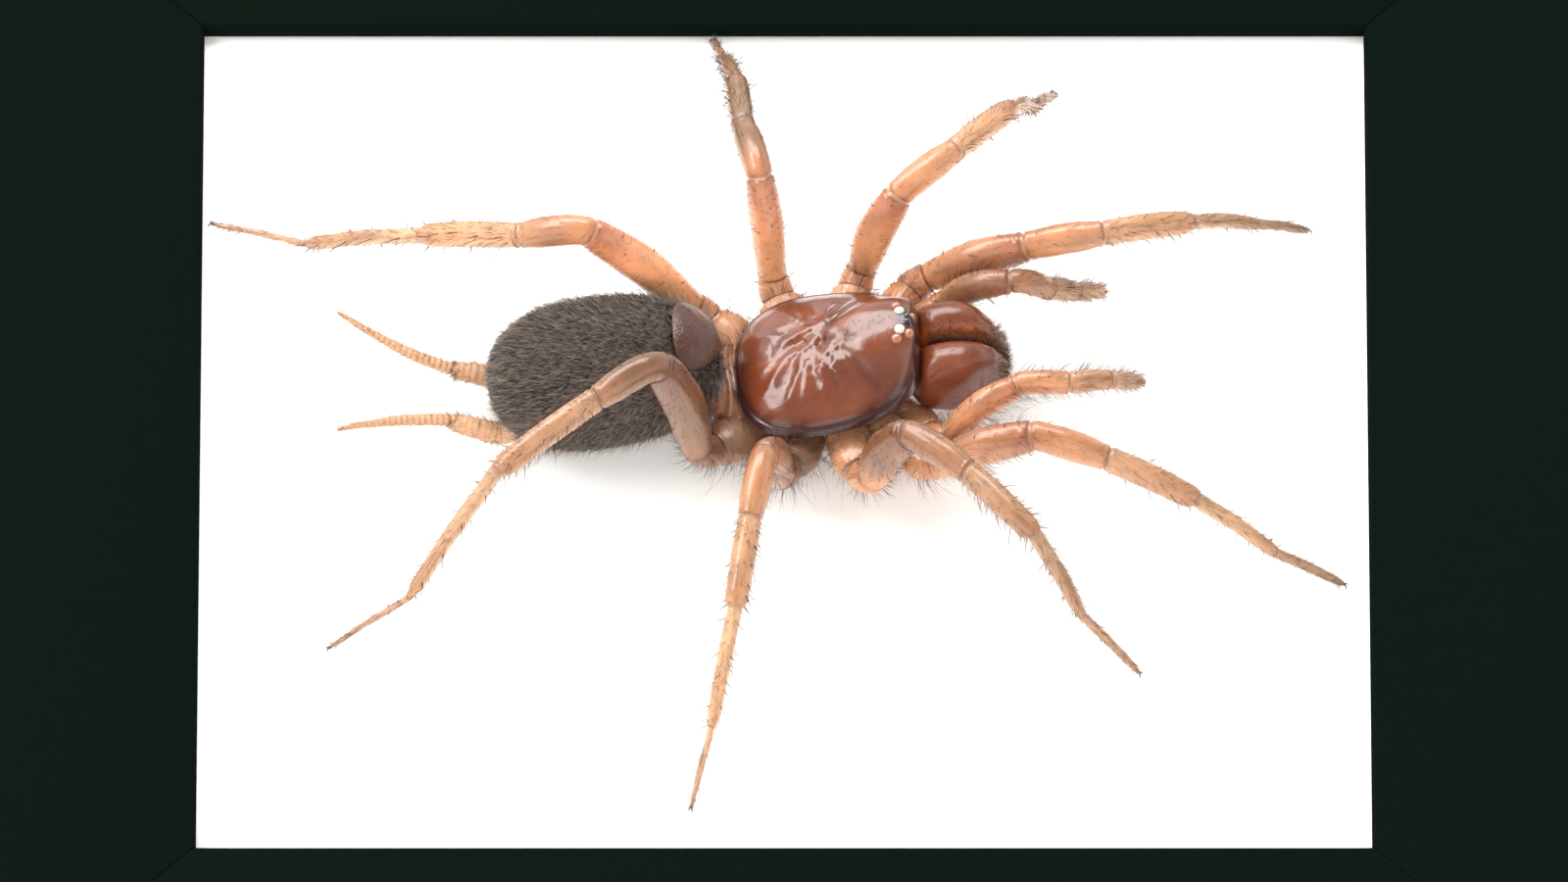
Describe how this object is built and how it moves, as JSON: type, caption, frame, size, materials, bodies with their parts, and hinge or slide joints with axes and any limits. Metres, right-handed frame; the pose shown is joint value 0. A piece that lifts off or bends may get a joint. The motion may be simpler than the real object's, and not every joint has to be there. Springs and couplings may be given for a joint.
{
  "type": "framed funnel-web spider specimen",
  "caption": "Dried spider posed on a white backing board inside a flat, dark mitred picture frame, legs spread and head to one side.",
  "frame": {"origin": "centre of the frame's flat back, with the frame lying face up", "axes": "+X along the frame's longer side, towards the spider's head; +Y towards the spider's left side; +Z out of the frame's face"},
  "size_m": [0.1114, 0.1008, 0.0277],
  "materials": {
    "frame_paint": "even, near-black green satin paint",
    "board_paper": "smooth bright white card",
    "carapace_shell": "glossy mahogany-brown cuticle with a darker rim",
    "jaw_shell": "glossy red-brown cuticle, hairy in front",
    "limb_shell": "satin tan-orange cuticle, redder on the thighs, with fine dark bristles",
    "abdomen_velvet": "dense, short, dark grey-brown hair",
    "plate_shell": "glossy dark red-brown cuticle",
    "spinneret_skin": "pale orange ringed skin"
  },
  "bodies": {
    "root": {"frame_rail_back": "frame_paint", "frame_rail_front": "frame_paint", "frame_rail_left": "frame_paint", "frame_rail_right": "frame_paint", "backing_board": "board_paper", "carapace": "carapace_shell", "sternum": "limb_shell", "chelicera_left": "jaw_shell", "chelicera_right": "jaw_shell", "abdomen": "abdomen_velvet", "dorsal_plate": "plate_shell", "leg_1_left": "limb_shell", "leg_2_left": "limb_shell", "leg_3_left": "limb_shell", "leg_4_left": "limb_shell", "leg_1_right": "limb_shell", "leg_2_right": "limb_shell", "leg_3_right": "limb_shell", "leg_4_right": "limb_shell", "palp_left": "limb_shell", "palp_right": "limb_shell", "spinneret_left": "spinneret_skin", "spinneret_right": "spinneret_skin"}
  },
  "joints": []
}
